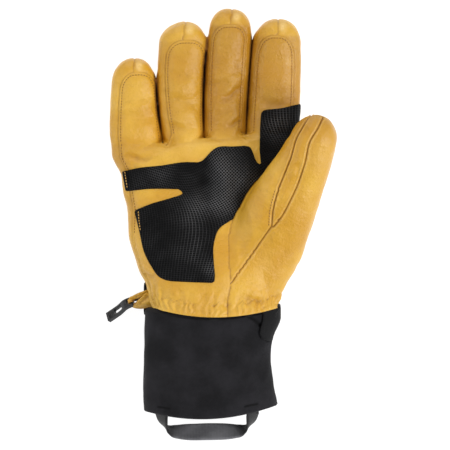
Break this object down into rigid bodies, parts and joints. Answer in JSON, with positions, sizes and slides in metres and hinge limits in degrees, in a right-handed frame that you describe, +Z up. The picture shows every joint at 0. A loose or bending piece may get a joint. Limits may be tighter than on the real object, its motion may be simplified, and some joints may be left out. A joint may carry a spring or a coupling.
{
  "type": "heated ski glove",
  "caption": "Right-hand heated ski glove in tan leather with a black grip patch, gathered wrist, fabric cuff, pull loop and clip.",
  "frame": {"origin": "centre of the bounding box's base, on the surface that the glove lies on", "axes": "+Y from the cuff to the fingertips, +X to the thumb side, +Z up out of the palm"},
  "size_m": [0.1564, 0.2942, 0.0781],
  "materials": {
    "leather": "satin",
    "grip": "satin",
    "cuff_fabric": "matte",
    "webbing": "satin",
    "plastic": "satin"
  },
  "bodies": {
    "root": {"palm_panel": "leather", "back_panel": "leather", "pinky_side_strip": "leather", "pinky_ring_fourchette": "leather", "ring_middle_fourchette": "leather", "middle_index_fourchette": "leather", "index_side_strip": "leather", "thumb_inner_panel": "leather", "thumb_wedge_panel": "leather", "thumb_outer_panel": "leather", "grip_patch": "grip", "cuff": "cuff_fabric", "wrist_strap": "webbing", "pull_loop": "webbing", "clip_loop": "leather", "glove_clip": "plastic"}
  },
  "joints": []
}
